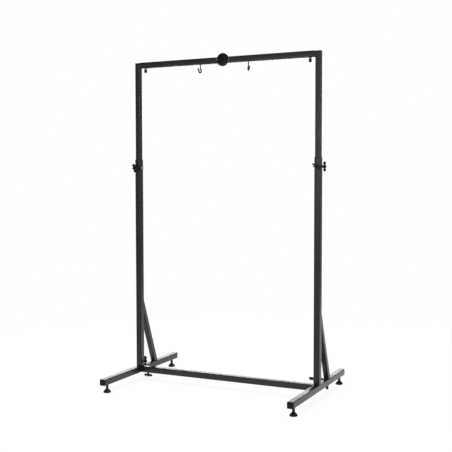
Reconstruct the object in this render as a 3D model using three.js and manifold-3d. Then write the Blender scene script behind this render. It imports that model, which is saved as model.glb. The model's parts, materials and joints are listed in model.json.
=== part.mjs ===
// Gong stand: a free-standing frame of square steel tube with telescoping posts.
// Millimetres. +X is to the right seen from the front, +Y goes back and +Z goes up.
// The origin is on the floor, in the middle of the two feet.

import * as THREE from 'three';
import { mergeVertices } from 'three/addons/utils/BufferGeometryUtils.js';
import Module from 'manifold-3d';

const wasm = await Module();
wasm.setup();

// Overall layout
const postSpacing = 1125;
const footLength = 842;
const footUnderside = 47.5;
const postSetback = 11;
const topBarTop = 1890;

// Square tubes: each slides into the next larger one
const outerTube = 35;
const tubeWall = 2;
const tubeCorner = 3;
const telescopeGap = 0.5;
const innerTube = outerTube - 2 * (tubeWall + telescopeGap);

// Top bar: a thin-walled sleeve over the leg that each upper post has below its mitred corner
const topBarWall = 1.2;
const topBarGap = 0.3;
const topBarTube = innerTube + 2 * (topBarWall + topBarGap);
const topBarStandoff = 5;

// Clearances: between pieces that rest on each other, and past a face that is cut through
const seatGap = 0.3;
const overrun = 1;

// Height adjustment: rows of holes along X, with the lock bolt in one of each
const lockHeight = 1270;
const holePitch = 50;
const holeRadius = 4.5;
const holesDownSleeve = 6;
const holesDownPost = 2;
const postTail = 30;
const sleeveAboveLock = 51;

// Places where the tubes are joined
const spigotLength = 90;
const baseStubLength = 85;
const topLegLength = 80;
const postClampRise = 29.5;
const baseClampInset = 53.5;
const topClampInset = 48.5;
const bossRadius = 7.5;
const bossHeight = 5;

// Braces
const braceReach = 164;
const braceTopHeight = 449;
const bracePlate = 3;
const braceNutRadius = 6.5;
const braceNutHeight = 6;
const braceBoltRadius = 3;
const braceBoltHeadRadius = 5;
const braceBoltHeadHeight = 4;
const braceBoltTail = 2;

// Hand screws: a wing head moulded on a threaded shank
const shankRadius = 4;
const shankChamfer = 0.8;
const hubRadius = 8.5;
const hubStart = 8;
const hubEnd = 27;
const hubEdge = 2;
const shankSunk = 1;
const wingSpan = 54;
const wingLobeRadius = 7.5;
const wingLobeHeight = 18;
const wingThickness = 8;
const wingWaist = 3;
const lockBoltTail = 14;

// Levelling feet
const padInset = 49;
const padRadius = 21;
const padRim = 7;
const padEdge = 1.5;
const padConeTop = 22;
const padNeckRadius = 7.5;
const studSeat = 12;
const studRise = 24.5;
const footNutRadius = 7.5;
const footNutHeight = 6.5;

// Foot end caps
const capFlange = 7;
const capEdge = 2;
const capPlug = 14;
const capPlugWall = 2.5;

// Hooks and their inserts
const hookSpacing = 300;
const hookWireRadius = 3;
const hookCurl = 10.5;
const hookOffset = 4.5;
const hookCentreDrop = 38;
const hookShankRise = 12;
const hookTipRise = 17;
const insertBarrelRadius = 5;
const insertBarrelLength = 9;
const insertBulgeRadius = 6.5;
const insertBulgeHeight = 2;
const insertFlangeRadius = 6.5;
const insertFlangeHeight = 1;

// Badge on the front of the top bar
const badgeRadius = 37.5;
const badgeRimWidth = 1.8;
const badgeRimDepth = 3.6;
const badgeDepth = 3;
const badgeEdge = 0.6;
const badgePinRadius = 2;
const badgePinLength = 5;
const badgePinSpacing = 40;

// Turn of each wing about its screw, in degrees, left and right
const lockTurn = { left: -23, right: 0 };
const frontTurn = { left: 35.5, right: 55 };
const topTurn = { left: 57, right: 70 };
const baseTurn = { left: 0, right: 25 };
const innerTurn = { left: -6, right: 112 };
const rearTurn = { left: 30, right: -72 };
const braceTurn = { left: 60, right: 68 };
const hookTurn = { left: 170, right: 95 };

// Facet counts
const cornerSteps = 1;
const holeSteps = 8;
const hexSides = 6;
const shankSteps = 8;
const hubSteps = 12;
const wingSteps = 3;
const padSteps = 20;
const badgeSteps = 32;
const wireSteps = 8;
const curlSteps = 20;

// Places worked out from the sizes above
const postX = postSpacing / 2;
const postY = -postSetback;
const outerHalf = outerTube / 2;
const innerHalf = innerTube / 2;
const topBarHalf = topBarTube / 2;
const footAxis = footUnderside + outerHalf;
const footTop = footUnderside + outerTube;
const footTubeHalf = footLength / 2 - capFlange - seatGap;
const topBarAxis = topBarTop - topBarHalf;
const topBarUnderside = topBarTop - topBarTube;
const upperPostTop = topBarAxis + innerHalf;
const holesUpPost = Math.floor((topBarUnderside - lockHeight) / holePitch) - 1;
const upperPostBottom = lockHeight - holesDownPost * holePitch - postTail;
const sleeveTop = lockHeight + sleeveAboveLock;
const sleeveBottom = footTop + seatGap;
const postClampHeight = footTop + postClampRise;
const baseClampX = postX - baseClampInset;
const topClampX = postX - topClampInset;
const braceScrewY = postY + braceReach;
const padY = footLength / 2 - padInset;

// Finishes
const paintedSteel = { color: 0x232325, roughness: 0.34, metalness: 0.1 };
const zincSteel = { color: 0xb9bcc0, roughness: 0.32, metalness: 0.9 };
const blackSteel = { color: 0x2a2a2b, roughness: 0.4, metalness: 0.6 };
const blackPlastic = { color: 0x121213, roughness: 0.5, metalness: 0 };
const badgeFace = { color: 0x0e0e10, roughness: 0.25, metalness: 0 };
const goldRim = { color: 0xb79a5e, roughness: 0.3, metalness: 0.9 };

const sides = [
  { name: 'left', sign: -1 },
  { name: 'right', sign: 1 },
];
const ends = [
  { name: 'front', sign: -1 },
  { name: 'rear', sign: 1 },
];
const up = new THREE.Vector3(0, 0, 1);
const along = new THREE.Vector3(1, 0, 0);

// Solids from three.js geometry, and back
function solid(geometry) {
  const bare = geometry.index ? geometry.toNonIndexed() : geometry.clone();
  bare.deleteAttribute('normal');
  bare.deleteAttribute('uv');
  const merged = mergeVertices(bare);
  const vertProperties = new Float32Array(merged.attributes.position.array);
  const triVerts = new Uint32Array(merged.index.array);
  return new wasm.Manifold(new wasm.Mesh({ numProp: 3, vertProperties, triVerts }));
}

function surface(body) {
  const mesh = body.getMesh();
  const geometry = new THREE.BufferGeometry();
  geometry.setAttribute('position', new THREE.BufferAttribute(mesh.vertProperties, 3));
  geometry.setIndex(new THREE.BufferAttribute(mesh.triVerts, 1));
  const faceted = geometry.toNonIndexed();
  faceted.computeVertexNormals();
  return faceted;
}

// A square outline with round corners
function squareOutline(size, corner) {
  const straight = size / 2 - corner;
  const quarter = Math.PI / 2;
  const outline = new THREE.Shape();
  outline.absarc(straight, straight, corner, 0, quarter, false);
  outline.absarc(-straight, straight, corner, quarter, 2 * quarter, false);
  outline.absarc(-straight, -straight, corner, 2 * quarter, 3 * quarter, false);
  outline.absarc(straight, -straight, corner, 3 * quarter, 4 * quarter, false);
  return outline;
}

// A square bar or tube that stands on Z from one height to another
function squareBar(size, corner, from, to) {
  const settings = { depth: to - from, bevelEnabled: false, curveSegments: cornerSteps };
  return new THREE.ExtrudeGeometry(squareOutline(size, corner), settings).translate(0, 0, from);
}

function squareTube(size, wall, from, to) {
  const outline = squareOutline(size, tubeCorner);
  outline.holes.push(squareOutline(size - 2 * wall, tubeCorner - wall));
  const settings = { depth: to - from, bevelEnabled: false, curveSegments: cornerSteps };
  return new THREE.ExtrudeGeometry(outline, settings).translate(0, 0, from);
}

// Turn a shape made along Z so that it points along a direction from a point
function aim(geometry, point, direction) {
  const turn = new THREE.Quaternion().setFromUnitVectors(up, direction);
  return geometry.applyQuaternion(turn).translate(point.x, point.y, point.z);
}

// A round rod from a point along a direction, from one distance to another
function rod(radius, point, direction, from, to, steps = holeSteps) {
  const length = to - from;
  const geometry = new THREE.CylinderGeometry(radius, radius, length, steps);
  geometry.rotateX(Math.PI / 2).translate(0, 0, from + length / 2);
  return solid(aim(geometry, point, direction));
}

function block(low, high) {
  const size = new THREE.Vector3().subVectors(high, low);
  const centre = new THREE.Vector3().addVectors(low, high).multiplyScalar(1 / 2);
  const geometry = new THREE.BoxGeometry(size.x, size.y, size.z);
  return solid(geometry.translate(centre.x, centre.y, centre.z));
}

function revolved(points, steps) {
  const profile = points.map(([radius, height]) => new THREE.Vector2(radius, height));
  return new THREE.LatheGeometry(profile, steps).rotateX(Math.PI / 2);
}

function vector(x, y, z) {
  return new THREE.Vector3(x, y, z);
}

// A boss on a tube's face, and the threaded hole through it and the wall behind
function withBoss(body, point, outward) {
  const boss = rod(bossRadius, point, outward, -tubeWall / 2, bossHeight, hubSteps);
  const bore = rod(holeRadius, point, outward, -tubeWall - overrun, bossHeight + overrun);
  return body.add(boss).subtract(bore);
}

// Named pieces
function piece(name, geometry, finish) {
  const mesh = new THREE.Mesh(geometry, new THREE.MeshStandardMaterial(finish));
  mesh.name = name;
  return mesh;
}

function placed(mesh, x, y, z) {
  mesh.position.set(x, y, z);
  return mesh;
}

// Foot: a tube along Y with the post's spigot, the bottom bar's stub and nuts for the pads
function footSolid(side) {
  const tube = squareTube(outerTube, tubeWall, -footTubeHalf, footTubeHalf);
  const spigot = squareTube(innerTube, tubeWall, footTop - tubeWall / 2, footTop + spigotLength);
  const stub = squareTube(innerTube, tubeWall, outerHalf - tubeWall / 2, outerHalf + baseStubLength);
  const stubFoot = vector(0, postY, footAxis);
  let body = solid(tube.rotateX(Math.PI / 2).translate(0, 0, footAxis));
  body = body.add(solid(spigot.translate(0, postY, 0)));
  body = body.add(solid(aim(stub, stubFoot, vector(-side.sign, 0, 0))));
  for (const end of ends) {
    const floor = vector(0, end.sign * padY, footUnderside);
    const nut = rod(footNutRadius, floor, up, tubeWall / 2, tubeWall + footNutHeight, hexSides);
    const bore = rod(holeRadius, floor, up, -overrun, tubeWall + footNutHeight + overrun);
    body = body.add(nut).subtract(bore);
  }
  const braceHole = vector(0, braceScrewY, footUnderside);
  body = withBoss(body, braceHole, vector(0, 0, -1));
  return body.subtract(rod(holeRadius, braceHole, up, outerHalf, outerTube + overrun));
}

// Cap: a rounded flange with a hollow plug that fills the foot's end
function capSolid() {
  const plugSize = outerTube - 2 * (tubeWall + seatGap);
  const flangeSettings = {
    depth: capFlange - capEdge,
    bevelEnabled: true,
    bevelThickness: capEdge,
    bevelSize: capEdge,
    bevelOffset: -capEdge,
    bevelSegments: 1,
    curveSegments: cornerSteps,
  };
  const flange = solid(new THREE.ExtrudeGeometry(squareOutline(outerTube, tubeCorner), flangeSettings));
  const behind = vector(outerTube, outerTube, 0);
  const below = vector(-outerTube, -outerTube, -2 * capEdge);
  const plug = solid(squareTube(plugSize, capPlugWall, -capPlug - seatGap, capEdge));
  return flange.subtract(block(below, behind)).add(plug);
}

// Levelling pad: a round base, a cone and a neck with a blind hole for the stud
function padGeometry() {
  const top = footUnderside - seatGap;
  const bore = shankRadius + seatGap;
  const profile = [
    [0, 0],
    [padRadius - padEdge, 0],
    [padRadius, padEdge],
    [padRadius, padRim],
    [padNeckRadius, padConeTop],
    [padNeckRadius, top],
    [bore, top],
    [bore, studSeat],
    [0, studSeat],
  ];
  return revolved(profile, padSteps);
}

// A threaded shank along Z with a chamfer at each end
function shankGeometry(radius, from, to) {
  const profile = [
    [0, from],
    [radius - shankChamfer, from],
    [radius, from + shankChamfer],
    [radius, to - shankChamfer],
    [radius - shankChamfer, to],
    [0, to],
  ];
  return revolved(profile, shankSteps);
}

// Lower post: the sleeve with its row of holes and the bosses of four screws
function lowerPostSolid(side) {
  let body = solid(squareTube(outerTube, tubeWall, sleeveBottom, sleeveTop));
  for (let step = 0; step <= holesDownSleeve; step += 1) {
    const centre = vector(-outerTube, 0, lockHeight - step * holePitch);
    body = body.subtract(rod(holeRadius, centre, along, 0, 2 * outerTube));
  }
  body = withBoss(body, vector(side.sign * outerHalf, 0, lockHeight), vector(side.sign, 0, 0));
  body = withBoss(body, vector(0, -outerHalf, lockHeight), vector(0, -1, 0));
  body = withBoss(body, vector(-side.sign * outerHalf, 0, postClampHeight), vector(-side.sign, 0, 0));
  body = withBoss(body, vector(0, outerHalf, postClampHeight), vector(0, 1, 0));
  const boltHole = rod(braceBoltRadius + seatGap, vector(0, -outerTube, braceTopHeight),
    vector(0, 1, 0), 0, 2 * outerTube);
  return body.subtract(boltHole);
}

// Upper post: the inner tube with its row of holes, a closed top and the leg that carries the top bar
function upperPostSolid(side) {
  const tube = solid(squareTube(innerTube, tubeWall, upperPostBottom, upperPostTop));
  const lid = solid(squareBar(innerTube, tubeCorner, upperPostTop - tubeWall, upperPostTop));
  const leg = squareTube(innerTube, tubeWall, innerHalf - tubeCorner, innerHalf + topLegLength);
  let body = tube.add(lid);
  body = body.add(solid(aim(leg, vector(0, 0, topBarAxis), vector(-side.sign, 0, 0))));
  for (let step = -holesDownPost; step <= holesUpPost; step += 1) {
    const centre = vector(-outerTube, 0, lockHeight + step * holePitch);
    body = body.subtract(rod(holeRadius, centre, along, 0, 2 * outerTube));
  }
  return body;
}

// Bottom bar: a sleeve over both stubs, with a boss below at each end
function bottomBarSolid() {
  const half = postX - outerHalf - seatGap;
  const tube = squareTube(outerTube, tubeWall, -half, half);
  let body = solid(aim(tube, vector(0, postY, footAxis), along));
  for (const side of sides) {
    const point = vector(side.sign * baseClampX, postY, footUnderside);
    body = withBoss(body, point, vector(0, 0, -1));
  }
  return body;
}

// Top bar: a sleeve over both legs, with bosses below and holes for the hooks and the badge
function topBarSolid() {
  const half = postX - innerHalf - topBarStandoff;
  const down = vector(0, 0, -1);
  const tube = squareTube(topBarTube, topBarWall, -half, half);
  let body = solid(aim(tube, vector(0, postY, topBarAxis), along));
  for (const side of sides) {
    const clamp = vector(side.sign * topClampX, postY, topBarUnderside);
    const hook = vector(side.sign * hookSpacing / 2, postY, topBarUnderside);
    const pin = vector(side.sign * badgePinSpacing / 2, postY - topBarHalf, topBarAxis);
    body = withBoss(body, clamp, down);
    body = body.subtract(rod(insertBarrelRadius + seatGap, hook, down, -topBarWall - overrun, overrun));
    body = body.subtract(rod(badgePinRadius + seatGap, pin, vector(0, 1, 0), -overrun, tubeWall + overrun));
  }
  return body;
}

// Brace: a leaning tube cut to the post's back and the foot's top, closed by plates with nuts
function braceSolid() {
  const run = braceReach - outerHalf;
  const rise = braceTopHeight - footTop;
  const lean = Math.atan2(run, rise);
  const length = Math.hypot(run, rise);
  const back = outerHalf + seatGap;
  const low = footTop + seatGap;
  const lay = (geometry) => {
    geometry.rotateX(lean).translate(0, outerHalf, braceTopHeight);
    return solid(geometry);
  };
  const region = (inset) => block(vector(-outerTube, back + inset, low + inset),
    vector(outerTube, braceReach + 2 * outerTube, braceTopHeight + length));
  const coreSize = innerTube - 2 * tubeWall;
  const bar = lay(squareBar(innerTube, tubeCorner, -length - 2 * innerTube, 2 * outerTube + innerTube));
  const core = lay(squareBar(coreSize, tubeCorner - tubeWall, -length - 2 * innerTube,
    2 * outerTube + innerTube));
  const hollow = core.intersect(region(bracePlate));
  const screwFoot = vector(0, braceReach, low);
  const boltFace = vector(0, back, braceTopHeight);
  const backward = vector(0, 1, 0);
  const through = bracePlate + braceNutHeight + overrun;
  return bar.intersect(region(0))
    .subtract(hollow)
    .add(rod(braceNutRadius, screwFoot, up, bracePlate / 2, bracePlate + braceNutHeight, hexSides))
    .add(rod(braceNutRadius, boltFace, backward, bracePlate / 2, bracePlate + braceNutHeight, hexSides))
    .subtract(rod(holeRadius, screwFoot, up, -overrun, through))
    .subtract(rod(braceBoltRadius + seatGap, boltFace, backward, -overrun, through));
}

// Brace bolt: a domed head in front of the post and a shank into the brace's nut
function braceBoltGeometry() {
  const reach = outerTube + 2 * seatGap + bracePlate + braceNutHeight + braceBoltTail;
  const profile = [
    [0, -reach],
    [braceBoltRadius - shankChamfer, -reach],
    [braceBoltRadius, shankChamfer - reach],
    [braceBoltRadius, 0],
    [braceBoltHeadRadius, 0],
    [braceBoltHeadRadius, braceBoltHeadHeight / 2],
    [braceBoltHeadRadius / 2, braceBoltHeadHeight],
    [0, braceBoltHeadHeight],
  ];
  return revolved(profile, shankSteps);
}

// Wing head: two round lobes and a waisted web round a hub with a through hole
function wingHeadSolid() {
  const reach = wingSpan / 2 - wingLobeRadius;
  const third = Math.PI / 3;
  const joinX = reach - wingLobeRadius * Math.cos(third);
  const joinY = wingLobeRadius * Math.sin(third);
  const outline = new THREE.Shape();
  outline.absarc(reach, 0, wingLobeRadius, -2 * third, 2 * third, false);
  outline.quadraticCurveTo(0, 2 * wingWaist - joinY, -joinX, joinY);
  outline.absarc(-reach, 0, wingLobeRadius, third, 5 * third, false);
  outline.quadraticCurveTo(0, joinY - 2 * wingWaist, joinX, -joinY);
  const settings = {
    depth: wingThickness,
    bevelEnabled: false,
    curveSegments: wingSteps,
  };
  const wings = new THREE.ExtrudeGeometry(outline, settings);
  wings.translate(0, 0, -wingThickness / 2).rotateX(Math.PI / 2);
  const bore = shankRadius + seatGap;
  const hub = revolved([
    [bore, hubStart],
    [hubRadius, hubStart],
    [hubRadius, hubEnd - hubEdge],
    [hubRadius - hubEdge, hubEnd],
    [bore, hubEnd],
    [bore, hubStart],
  ], hubSteps);
  const hole = rod(bore, vector(0, 0, 0), up, hubStart - overrun, hubEnd + overrun, hubSteps);
  return solid(wings.translate(0, 0, wingLobeHeight)).subtract(hole).add(solid(hub));
}

// Hook: a wire that leaves its shank to one side and curls round to an open tip
function hookGeometry() {
  const centre = vector(-hookOffset, 0, -hookCentreDrop);
  const at = (degrees, radius) => {
    const angle = THREE.MathUtils.degToRad(degrees);
    return vector(centre.x + radius * Math.cos(angle), 0, centre.z + radius * Math.sin(angle));
  };
  const bendStart = vector(0, 0, centre.z + 2 * hookCurl);
  const route = new THREE.CurvePath();
  const points = [bendStart];
  points.push(vector(hookOffset / 4, 0, centre.z + 3 / 2 * hookCurl));
  for (let degrees = 30; degrees >= -180; degrees -= 30) {
    points.push(at(degrees, hookCurl));
  }
  points.push(vector(centre.x - hookCurl - hookWireRadius / 4, 0, centre.z + hookTipRise / 2));
  points.push(vector(centre.x - hookCurl - hookWireRadius, 0, centre.z + hookTipRise));
  route.add(new THREE.LineCurve3(vector(0, 0, hookShankRise), bendStart));
  route.add(new THREE.CatmullRomCurve3(points));
  const section = new THREE.Shape().absarc(0, 0, hookWireRadius, 0, 2 * Math.PI, false);
  const settings = { steps: curlSteps, extrudePath: route, curveSegments: wireSteps / 2 };
  return new THREE.ExtrudeGeometry(section, settings);
}

// Insert: a threaded barrel set in the bar's lower wall, with a flange below
function insertGeometry() {
  const bore = hookWireRadius + seatGap;
  const flangeTop = -seatGap;
  const flangeFoot = flangeTop - insertFlangeHeight;
  const bulgeFoot = topBarWall + seatGap;
  const profile = [
    [bore, flangeFoot],
    [insertFlangeRadius, flangeFoot],
    [insertFlangeRadius, flangeTop],
    [insertBarrelRadius, flangeTop],
    [insertBarrelRadius, bulgeFoot],
    [insertBulgeRadius, bulgeFoot + insertBulgeHeight / 2],
    [insertBarrelRadius, bulgeFoot + insertBulgeHeight],
    [insertBarrelRadius, insertBarrelLength],
    [bore, insertBarrelLength],
    [bore, flangeFoot],
  ];
  return revolved(profile, shankSteps);
}

// Badge: a plain disc with two pins at its back, in a thin rim
function badgeSolid() {
  const edge = badgeRadius - badgeRimWidth - seatGap;
  let body = solid(revolved([
    [0, 0],
    [edge, 0],
    [edge, badgeDepth - badgeEdge],
    [edge - badgeEdge, badgeDepth],
    [0, badgeDepth],
  ], badgeSteps));
  for (const side of sides) {
    const foot = vector(side.sign * badgePinSpacing / 2, 0, 0);
    body = body.add(rod(badgePinRadius, foot, up, -badgePinLength, badgeDepth / 2));
  }
  return body;
}

function rimGeometry() {
  const inner = badgeRadius - badgeRimWidth;
  return revolved([
    [inner, 0],
    [badgeRadius, 0],
    [badgeRadius, badgeRimDepth - badgeEdge],
    [badgeRadius - badgeEdge, badgeRimDepth],
    [inner + badgeEdge, badgeRimDepth],
    [inner, badgeRimDepth - badgeEdge],
    [inner, 0],
  ], badgeSteps);
}

const wingHead = surface(wingHeadSolid());

// A hand screw on a face: its shank goes a given depth below the face
function handScrew(name, side, point, outward, turns, depth) {
  const turned = THREE.MathUtils.degToRad(turns[side.name]);
  const reference = Math.abs(outward.z) > 0 ? along : up;
  const wingWay = reference.clone().applyAxisAngle(outward, turned);
  const across = new THREE.Vector3().crossVectors(outward, wingWay);
  const basis = new THREE.Matrix4().makeBasis(wingWay, across, outward);
  const group = new THREE.Group();
  group.position.copy(point);
  group.quaternion.setFromRotationMatrix(basis);
  const shank = shankGeometry(shankRadius, -depth, hubEnd - shankSunk);
  group.add(piece(`${name}_wing_${side.name}`, wingHead, blackPlastic));
  group.add(piece(`${name}_screw_${side.name}`, shank, zincSteel));
  return group;
}

// The base: feet, lower posts, bottom bar, braces and what is fixed to them
function makeBase() {
  const base = new THREE.Group();
  const cap = surface(capSolid());
  const pad = padGeometry();
  const stud = shankGeometry(shankRadius, studSeat + seatGap, footUnderside + studRise);
  const brace = surface(braceSolid());
  const bolt = braceBoltGeometry();
  const clampDepth = tubeWall + telescopeGap - seatGap;
  const lockDepth = outerTube + lockBoltTail;
  const braceDepth = outerTube + seatGap + bracePlate + braceNutHeight;
  const down = vector(0, 0, -1);
  for (const side of sides) {
    const x = side.sign * postX;
    base.add(placed(piece(`foot_${side.name}`, surface(footSolid(side)), paintedSteel), x, 0, 0));
    const post = piece(`lower_post_${side.name}`, surface(lowerPostSolid(side)), paintedSteel);
    base.add(placed(post, x, postY, 0));
    base.add(placed(piece(`brace_${side.name}`, brace, paintedSteel), x, postY, 0));
    const boltMesh = piece(`brace_bolt_${side.name}`, bolt, blackSteel);
    boltMesh.rotation.x = Math.PI / 2;
    base.add(placed(boltMesh, x, postY - outerHalf - seatGap, braceTopHeight));
    for (const end of ends) {
      const label = `${end.name}_${side.name}`;
      const capMesh = piece(`foot_cap_${label}`, cap, blackPlastic);
      capMesh.rotation.x = -end.sign * Math.PI / 2;
      base.add(placed(capMesh, x, end.sign * (footLength / 2 - capFlange), footAxis));
      base.add(placed(piece(`levelling_pad_${label}`, pad, blackPlastic), x, end.sign * padY, 0));
      base.add(placed(piece(`levelling_stud_${label}`, stud, zincSteel), x, end.sign * padY, 0));
    }
    const outward = vector(side.sign, 0, 0);
    const inward = vector(-side.sign, 0, 0);
    const screws = [
      ['lock', vector(x + side.sign * outerHalf, postY, lockHeight), outward, lockTurn, lockDepth],
      ['front', vector(x, postY - outerHalf, lockHeight), vector(0, -1, 0), frontTurn, clampDepth],
      ['inner', vector(x - side.sign * outerHalf, postY, postClampHeight), inward, innerTurn, clampDepth],
      ['rear', vector(x, postY + outerHalf, postClampHeight), vector(0, 1, 0), rearTurn, clampDepth],
      ['base', vector(side.sign * baseClampX, postY, footUnderside), down, baseTurn, clampDepth],
      ['brace', vector(x, braceScrewY, footUnderside), down, braceTurn, braceDepth],
    ];
    for (const [name, point, way, turns, depth] of screws) {
      base.add(handScrew(name, side, point, way, turns, depth));
    }
  }
  base.add(piece('bottom_bar', surface(bottomBarSolid()), paintedSteel));
  return base;
}

// The upper frame: upper posts, top bar, hooks and badge, which rise and fall together
function makeUpperFrame() {
  const frame = new THREE.Group();
  const down = vector(0, 0, -1);
  const hook = hookGeometry();
  const insert = insertGeometry();
  const clampDepth = topBarWall + topBarGap - seatGap;
  for (const side of sides) {
    const post = piece(`upper_post_${side.name}`, surface(upperPostSolid(side)), paintedSteel);
    frame.add(placed(post, side.sign * postX, postY, 0));
    const hookX = side.sign * hookSpacing / 2;
    const hookMesh = piece(`hook_${side.name}`, hook, blackSteel);
    hookMesh.rotation.z = THREE.MathUtils.degToRad(hookTurn[side.name] - 180);
    frame.add(placed(hookMesh, hookX, postY, topBarUnderside));
    frame.add(placed(piece(`hook_insert_${side.name}`, insert, blackSteel), hookX, postY, topBarUnderside));
    const clamp = vector(side.sign * topClampX, postY, topBarUnderside);
    frame.add(handScrew('top', side, clamp, down, topTurn, clampDepth));
  }
  frame.add(piece('top_bar', surface(topBarSolid()), paintedSteel));
  const badge = new THREE.Group();
  badge.position.set(0, postY - topBarHalf - seatGap, topBarAxis);
  badge.rotation.x = Math.PI / 2;
  badge.add(piece('badge_disc', surface(badgeSolid()), badgeFace));
  badge.add(piece('badge_rim', rimGeometry(), goldRim));
  frame.add(badge);
  return frame;
}

const stand = new THREE.Group();
stand.name = 'gong_stand';
stand.add(makeBase());
stand.add(makeUpperFrame());

export default stand;
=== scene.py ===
"""The gong stand's looks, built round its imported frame.

Shapes are worked out in millimetres in the frame's own axes (+X right, +Y back, +Z up)
and become metres where a piece is made. The camera, the floor and the lamps are in metres.
"""

import json
import math

import bmesh
import bpy
import numpy as np
from mathutils import Matrix, Vector

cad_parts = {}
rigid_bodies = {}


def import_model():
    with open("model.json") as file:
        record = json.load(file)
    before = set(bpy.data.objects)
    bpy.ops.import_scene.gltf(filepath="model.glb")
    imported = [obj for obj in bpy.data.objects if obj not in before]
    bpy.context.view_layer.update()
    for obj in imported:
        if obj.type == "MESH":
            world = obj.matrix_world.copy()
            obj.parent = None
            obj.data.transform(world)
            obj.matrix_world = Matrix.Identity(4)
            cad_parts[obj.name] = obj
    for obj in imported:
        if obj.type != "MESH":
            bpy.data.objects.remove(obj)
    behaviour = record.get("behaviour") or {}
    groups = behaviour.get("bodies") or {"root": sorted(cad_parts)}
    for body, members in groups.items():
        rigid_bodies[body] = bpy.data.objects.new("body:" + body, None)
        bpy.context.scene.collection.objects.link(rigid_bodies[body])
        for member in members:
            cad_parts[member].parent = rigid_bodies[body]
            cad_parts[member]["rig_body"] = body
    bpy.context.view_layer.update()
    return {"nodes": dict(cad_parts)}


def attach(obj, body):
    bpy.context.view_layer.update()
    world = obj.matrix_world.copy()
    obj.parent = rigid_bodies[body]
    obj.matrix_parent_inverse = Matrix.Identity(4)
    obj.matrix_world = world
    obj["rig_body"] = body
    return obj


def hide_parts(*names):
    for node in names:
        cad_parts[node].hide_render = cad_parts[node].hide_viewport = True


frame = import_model()
scene = bpy.context.scene
MM = 0.001
NIL = 1e-6

# Camera, at the photograph's viewing angle, with its focal length in pixels of the picture
CAMERA_PLACE = (2.0847, -4.340, 1.1913)
YAW, PITCH, ROLL = 0.4468, 0.0529, -0.0012
FOCAL_PIXELS, PICTURE_PIXELS, SENSOR = 845.03, 452, 36
CLIP_START, CLIP_END = 0.1, 60

# Square tubes: one slides in the next, and the top bar over the upper posts' legs
OUTER, INNER, TOP_BAR = 35.0, 30.0, 33.0
WALL, TOP_BAR_WALL, CORNER = 2.0, 1.2, 3.0
SAWN_EDGE, TOP_BAR_EDGE = 0.4, 0.3
SEAT, TELESCOPE_GAP = 0.3, 0.5
CONVEXITY = 0.01

# Places of the frame
POST_X, POST_Y = 562.5, -11.0
FOOT_LENGTH, FOOT_UNDER = 842.0, 47.5
FOOT_AXIS = FOOT_UNDER + OUTER / 2
FOOT_TOP = FOOT_UNDER + OUTER
TOP_BAR_TOP = 1890.0
TOP_BAR_AXIS = TOP_BAR_TOP - TOP_BAR / 2
TOP_BAR_UNDER = TOP_BAR_TOP - TOP_BAR
TOP_BAR_STANDOFF, TOP_LEG = 5.0, 80.0
SPIGOT, STUB, SUNK = 90.0, 85.0, 1.0

# Height adjustment: the lock and its rows of holes
LOCK_HEIGHT, HOLE_PITCH = 1270.0, 50.0
HOLE_RADIUS, ROW_RADIUS = 4.5, 5.2
HOLES_DOWN_SLEEVE, HOLES_UP_POST, HOLES_DOWN_POST = 6, 10, 2
SLEEVE_TOP, POST_TAIL = LOCK_HEIGHT + 51.0, 30.0
OVERRUN, WALL_CUT = 1.0, 2.5

# Clamps: their places, their bosses and the beads round these
POST_CLAMP = FOOT_TOP + 29.5
BASE_CLAMP_X, TOP_CLAMP_X = POST_X - 53.5, POST_X - 48.5
BOSS_RADIUS, BOSS_HEIGHT = 7.5, 5.0
BOSS_BEAD, BOSS_BEAD_OUT, BOSS_BEAD_LIFT = 1.05, 0.25, 0.2

# Braces
BRACE_REACH, BRACE_TOP = 164.0, 449.0
BRACE_PLATE, BRACE_NUT = 3.0, 6.0
BRACE_SCREW_Y = POST_Y + BRACE_REACH
BRACE_EDGE, BRACE_BEAD, BRACE_BEAD_OUT = 0.5, 0.62, 0.1
BOLT_RADIUS, BOLT_TAIL, BOLT_HOLE = 3.0, 2.0, 3.3
BOLT_HEAD, BOLT_HEAD_HEIGHT, BOLT_SOCKET = 5.0, 4.0, 1.75

# Hand screws: the hub, the two lobes, the waist between them and the screw itself
SHANK, LOCK_TAIL, THREAD_SHARP = 4.0, 14.0, 20
HUB_RADIUS, HUB_START, HUB_END = 8.5, 8.0, 27.0
HUB_SOFT, HUB_BORE, HUB_FLOOR = 1.6, 4.35, 3.6
WING_HEIGHT, WING_HALF, WING_SOFT = 18.0, 4.0, 1.7
LOBE_X, LOBE_RADIUS = 19.5, 7.5
WAIST, FLARE, FLARE_END = 3.0, 3.5, 15.75
DISH_X, DISH_RADIUS, DISH_DEPTH = 19.0, 5.2, 0.7
WING_BOX, WING_GRID = ((-28, -10, 7), (28, 10, 31.5)), 0.9

# Levelling feet
PAD_Y, PAD_TOP = FOOT_LENGTH / 2 - 49.0, FOOT_UNDER - SEAT
PAD_RADIUS, PAD_EDGE, PAD_RIM = 21.0, 1.5, 7.0
PAD_NECK, PAD_CONE_TOP, PAD_SOCKET = 7.5, 22.0, 4.3
PAD_GROOVE, PAD_GROOVE_DEPTH = (17.5, 18.0, 19.2), 0.6
STUD_SEAT, STUD_RISE = 12.0, 24.5

# Foot end caps
CAP_FLANGE, CAP_BACK_EDGE = 7.0, 0.3
CAP_ROUND, CAP_CROWN, CAP_CREASE = 2.0, 0.5, 1.6
PLUG, PLUG_TIP, PLUG_HOLLOW = 30.4, 30.0, 25.4
PLUG_SUNK, PLUG_LENGTH = 0.2, 14.3

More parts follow.
